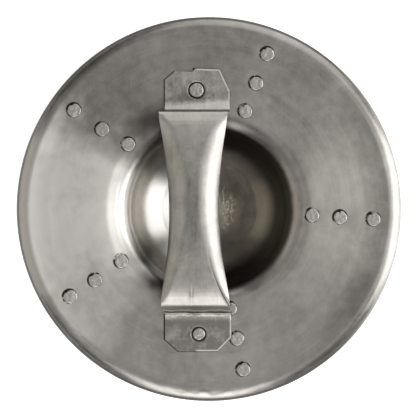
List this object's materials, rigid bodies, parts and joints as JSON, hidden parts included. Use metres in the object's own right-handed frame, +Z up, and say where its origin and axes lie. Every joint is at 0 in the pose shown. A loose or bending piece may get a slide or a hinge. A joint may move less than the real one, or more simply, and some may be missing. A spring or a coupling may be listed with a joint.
{
  "type": "buckler shield",
  "caption": "Round steel buckler shield with a deep central boss, a turned rim, rivets in rows running outwards and a bent sheet-steel grip across its back.",
  "frame": {"origin": "middle of the small flat at the lowest point of the boss, which the shield stands on", "axes": "+Z up, out of the back of the shield; +Y along the handle; +X to the right of the handle, seen from the back"},
  "size_m": [0.3, 0.3, 0.0652],
  "materials": {
    "plate_steel": "spun and brushed, satin, with a fine ringed grain and a few stains",
    "handle_steel": "brushed along its length, satin, with hammer marks at its bends",
    "rivet_steel": "hammered, satin, with a dark seam around each tail"
  },
  "bodies": {
    "root": {"plate": "plate_steel", "handle": "handle_steel", "handle_rivet_front": "rivet_steel", "handle_rivet_rear": "rivet_steel", "rivet_row_1_inner": "rivet_steel", "rivet_row_1_middle": "rivet_steel", "rivet_row_1_outer": "rivet_steel", "rivet_row_2_inner": "rivet_steel", "rivet_row_2_middle": "rivet_steel", "rivet_row_2_outer": "rivet_steel", "rivet_row_3_inner": "rivet_steel", "rivet_row_3_middle": "rivet_steel", "rivet_row_3_outer": "rivet_steel", "rivet_row_4_inner": "rivet_steel", "rivet_row_4_middle": "rivet_steel", "rivet_row_4_outer": "rivet_steel", "rivet_row_5_inner": "rivet_steel", "rivet_row_5_middle": "rivet_steel", "rivet_row_5_outer": "rivet_steel"}
  },
  "joints": []
}
